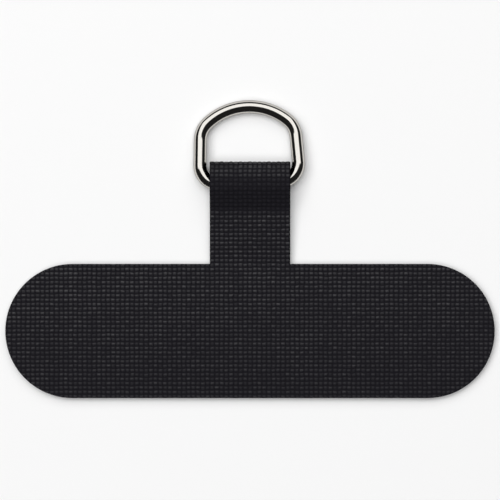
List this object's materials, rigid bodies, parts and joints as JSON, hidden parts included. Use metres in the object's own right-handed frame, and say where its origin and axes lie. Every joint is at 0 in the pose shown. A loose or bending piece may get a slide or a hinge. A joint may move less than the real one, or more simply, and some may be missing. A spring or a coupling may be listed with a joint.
{
  "type": "phone lanyard tether tab",
  "caption": "Flat T-shaped woven cloth patch that sits inside a phone case, its strap folded round the bar of a bent-wire D-ring for a lanyard clip.",
  "frame": {"origin": "middle of the patch's back face, where the patch lies on the table", "axes": "+X along the patch, +Y up the strap towards the ring, +Z out of the front face"},
  "size_m": [0.06, 0.0365, 0.0032],
  "materials": {
    "black_cloth": "plain weave, matt with a faint sheen on the yarns",
    "polished_nickel": "mirror polished nickel plate"
  },
  "bodies": {
    "tab": {"folded_cloth_tab": "black_cloth"},
    "ring": {"d_ring": "polished_nickel"}
  },
  "joints": [
    {"name": "ring_swing", "type": "hinge", "parent": "tab", "child": "ring", "pos_m": [0, 0.01814, 0.0016], "axis": [0.9992, 0.0412, 0], "range_deg": [-157, 180]}
  ]
}
